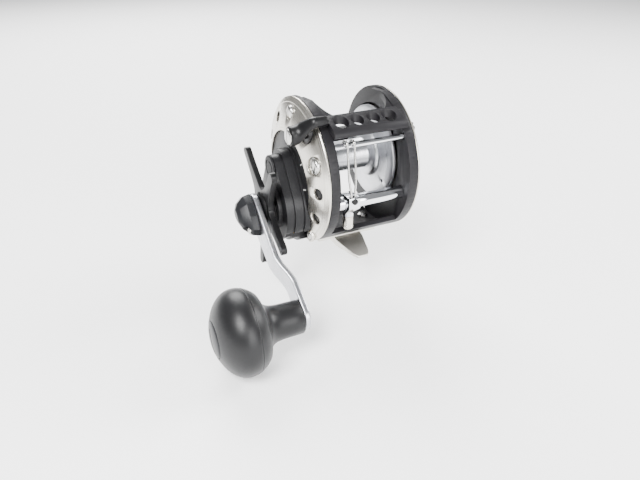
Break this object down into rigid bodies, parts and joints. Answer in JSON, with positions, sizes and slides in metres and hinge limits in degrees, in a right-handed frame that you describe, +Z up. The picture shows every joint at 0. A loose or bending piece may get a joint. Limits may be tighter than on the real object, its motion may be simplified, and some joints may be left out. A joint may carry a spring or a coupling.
{
  "type": "trolling reel",
  "caption": "Level-wind trolling reel: round side plates on a one-piece frame, aluminium spool, star drag, cranked handle with a round power knob, and a foot that clamps in a rod seat.",
  "frame": {"origin": "on the flat underside of the foot, under the middle of the frame", "axes": "+X along the spool axis, away from the handle; -Y towards the front, where line leaves; +Z up"},
  "size_m": [0.126, 0.1121, 0.1106],
  "materials": {
    "graphite": "moulded graphite composite, fine matte grain",
    "black_cover": "satin black moulded cover",
    "satin_silver": "satin, turned",
    "polished_aluminium": "polished",
    "spool_aluminium": "machined and polished",
    "chrome": "bright plated",
    "foot_steel": "satin stainless",
    "soft_grip": "soft-touch black",
    "cap_grey": "dark grey, satin",
    "black_plastic": "black, satin",
    "gear_brass": "cut teeth, oiled",
    "stainless": "satin stainless",
    "drag_fibre": "woven fibre, dull"
  },
  "bodies": {
    "reel_body": {"frame": "graphite", "handle_side_ring": "satin_silver", "far_side_ring": "satin_silver", "handle_side_cover": "black_cover", "far_side_cover": "black_cover", "bridge_plate": "stainless", "foot": "foot_steel", "foot_screw_1": "stainless", "foot_screw_2": "stainless", "guide_bar": "chrome", "worm_tube": "chrome", "spool_end_cap": "black_cover", "far_end_cap": "black_cover", "handle_side_bearing": "stainless", "far_side_bearing": "stainless", "handle_ring_screw_1": "stainless", "handle_ring_screw_2": "stainless", "handle_ring_screw_3": "stainless", "handle_ring_screw_4": "stainless", "far_ring_screw_1": "stainless", "far_ring_screw_2": "stainless", "far_ring_screw_3": "stainless"},
    "crank": {"drive_shaft": "stainless", "level_drive_gear": "gear_brass", "drive_gear": "gear_brass", "ratchet": "stainless", "drag_washer_inner": "drag_fibre", "drag_plate": "stainless", "drag_washer_outer": "drag_fibre", "pressure_plate": "stainless", "crank_arm": "polished_aluminium", "crank_nut": "stainless", "nut_cover": "cap_grey", "nut_cover_screw": "stainless", "knob_axle": "stainless"},
    "handle_knob": {"knob": "soft_grip", "knob_cap": "cap_grey"},
    "star_drag": {"star_wheel": "black_plastic"},
    "drag_push": {"drag_spacer": "stainless"},
    "lever": {"clutch_lever": "black_plastic", "lever_screw": "stainless", "clutch_cam": "stainless"},
    "clutch_yoke": {"yoke": "stainless"},
    "pinion_gear": {"pinion": "gear_brass"},
    "line_spool": {"spool": "spool_aluminium", "spool_shaft": "stainless", "click_gear": "black_plastic"},
    "idler": {"idler_gear": "gear_brass"},
    "worm": {"worm_shaft": "stainless", "worm_gear": "gear_brass"},
    "wind_carriage": {"carriage": "chrome", "line_guide": "stainless", "pawl_cap": "satin_silver", "carriage_screw": "black_plastic"},
    "wind_pawl": {"pawl": "stainless"},
    "clicker": {"clicker_button": "black_plastic", "click_tongue": "stainless"},
    "dog": {"anti_reverse_dog": "stainless"}
  },
  "joints": [
    {"name": "crank_turn", "type": "hinge", "parent": "reel_body", "child": "crank", "pos_m": [-0.04, -0.0024, 0.02774], "axis": [1, 0, 0], "continuous": true},
    {"name": "knob_spin", "type": "hinge", "parent": "crank", "child": "handle_knob", "pos_m": [-0.07, -0.0533, -0.0072], "axis": [1, 0, 0], "continuous": true},
    {"name": "star_turn", "type": "hinge", "parent": "crank", "child": "star_drag", "pos_m": [-0.045, -0.0024, 0.02774], "axis": [1, 0, 0], "range_deg": [-180, 180]},
    {"name": "drag_press", "type": "slide", "parent": "crank", "child": "drag_push", "axis": [1, 0, 0], "range_m": [-0.000375, 0.000375]},
    {"name": "lever_tilt", "type": "hinge", "parent": "reel_body", "child": "lever", "pos_m": [-0.033, -0.018, 0.0701], "axis": [-1, 0, 0], "range_deg": [0, 35]},
    {"name": "yoke_slide", "type": "slide", "parent": "reel_body", "child": "clutch_yoke", "axis": [-1, 0, 0], "range_m": [0, 0.002], "stiffness_N_per_m": 20},
    {"name": "pinion_turn", "type": "hinge", "parent": "clutch_yoke", "child": "pinion_gear", "pos_m": [-0.031, 0, 0.048], "axis": [1, 0, 0], "continuous": true},
    {"name": "spool_turn", "type": "hinge", "parent": "reel_body", "child": "line_spool", "pos_m": [0, 0, 0.048], "axis": [1, 0, 0], "continuous": true},
    {"name": "idler_turn", "type": "hinge", "parent": "reel_body", "child": "idler", "pos_m": [-0.0226, -0.01801, 0.03544], "axis": [1, 0, 0], "continuous": true},
    {"name": "worm_turn", "type": "hinge", "parent": "reel_body", "child": "worm", "pos_m": [0, -0.03, 0.0358], "axis": [1, 0, 0], "continuous": true},
    {"name": "carriage_travel", "type": "slide", "parent": "reel_body", "child": "wind_carriage", "axis": [1, 0, 0], "range_m": [-0.004, 0.026]},
    {"name": "pawl_swivel", "type": "hinge", "parent": "wind_carriage", "child": "wind_pawl", "pos_m": [-0.011, -0.03, 0.03], "axis": [0, 0, 1], "range_deg": [-20, 20]},
    {"name": "clicker_slide", "type": "slide", "parent": "reel_body", "child": "clicker", "axis": [0, 0, 1], "range_m": [0, 0.0026]},
    {"name": "dog_tilt", "type": "hinge", "parent": "reel_body", "child": "dog", "pos_m": [-0.0278, -0.0146, 0.027], "axis": [-1, 0, 0], "range_deg": [0, 12], "stiffness_Nm_per_rad": 0.001}
  ],
  "couplings": [
    {"joint": "drag_press", "follows": "star_turn", "m_per_rad": 0.00011937},
    {"joint": "pinion_turn", "follows": "crank_turn", "ratio": -3.8571},
    {"joint": "spool_turn", "follows": "crank_turn", "ratio": -3.8571},
    {"joint": "idler_turn", "follows": "crank_turn", "ratio": -0.93333},
    {"joint": "worm_turn", "follows": "crank_turn", "ratio": 2.8}
  ]
}
